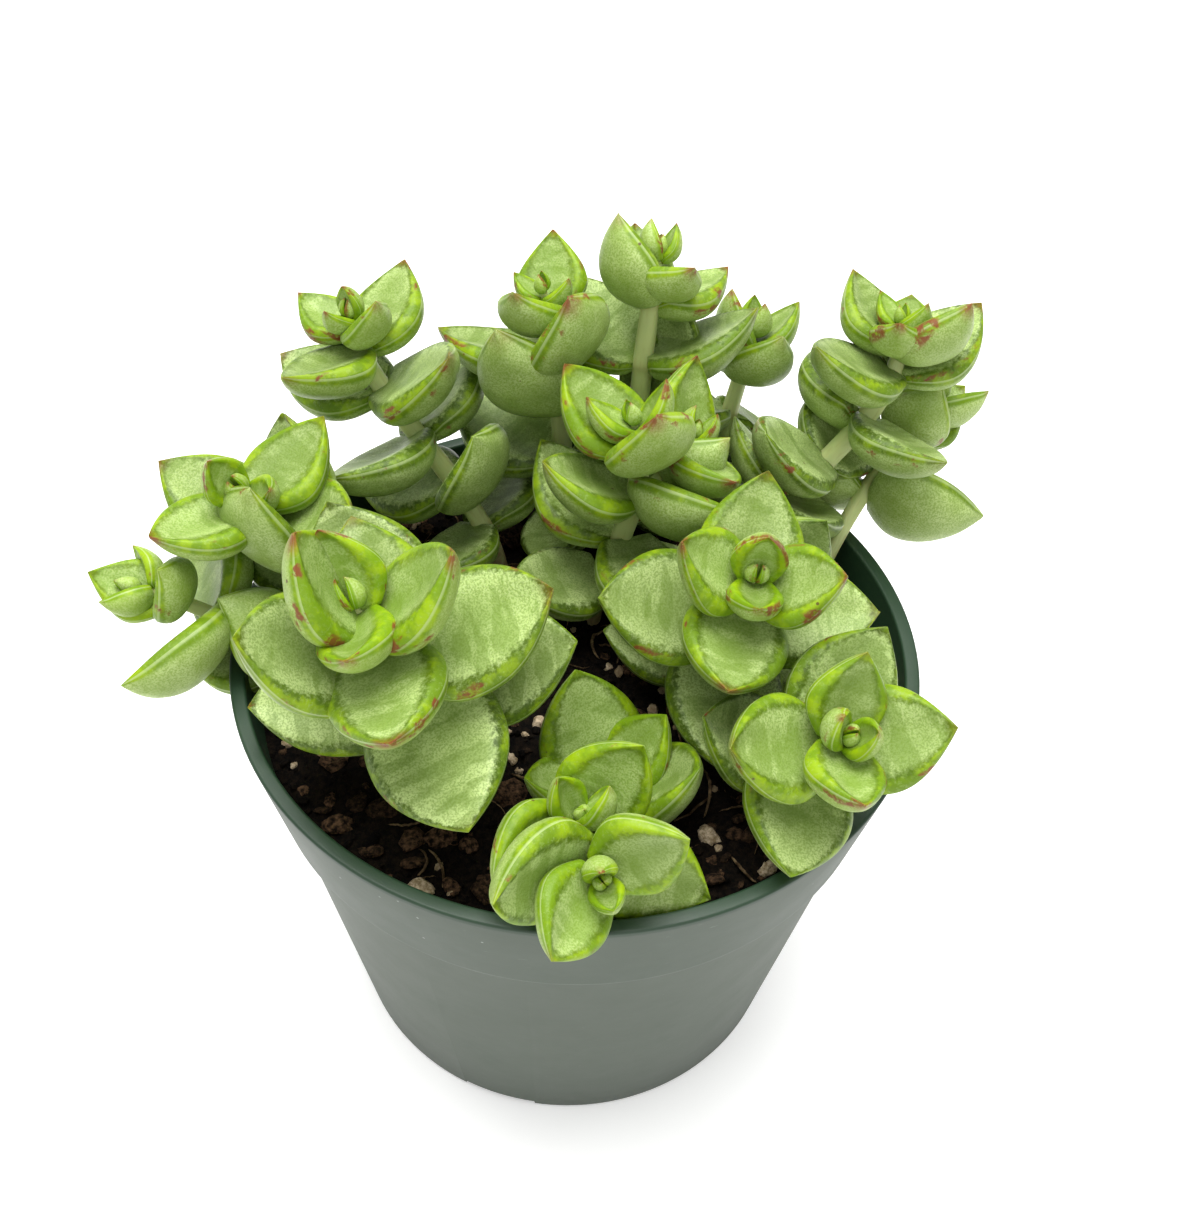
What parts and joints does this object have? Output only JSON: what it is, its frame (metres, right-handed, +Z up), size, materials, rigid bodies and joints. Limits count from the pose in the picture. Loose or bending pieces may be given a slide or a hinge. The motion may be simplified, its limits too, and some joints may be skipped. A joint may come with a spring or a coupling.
{
  "type": "potted crassula",
  "caption": "Bushy succulent with opposite pairs of thick pointed leaves on upright stems, growing in a round tapered plastic nursery pot filled with potting mix.",
  "frame": {"origin": "middle of the pot's underside, on the surface that the pot stands on", "axes": "+Z up along the pot's axis, -Y towards the side that the picture was taken from, +X to the right of that view"},
  "size_m": [0.1421, 0.1272, 0.1305],
  "materials": {
    "pot_plastic": "satin, dark green with a pale bloom",
    "peat_mix": "coarse, matte",
    "leaf_green": "smooth, waxy"
  },
  "bodies": {
    "root": {"pot": "pot_plastic", "potting_mix": "peat_mix", "stem_front_left": "leaf_green", "stem_front_right": "leaf_green", "stem_right_low": "leaf_green", "stem_left": "leaf_green", "stem_back_left": "leaf_green", "stem_back_middle": "leaf_green", "stem_back_right": "leaf_green", "stem_middle": "leaf_green", "stem_right": "leaf_green", "stem_front": "leaf_green", "stem_far_left": "leaf_green", "stem_far_back": "leaf_green", "stem_far_right": "leaf_green", "stem_centre_low": "leaf_green"}
  },
  "joints": []
}
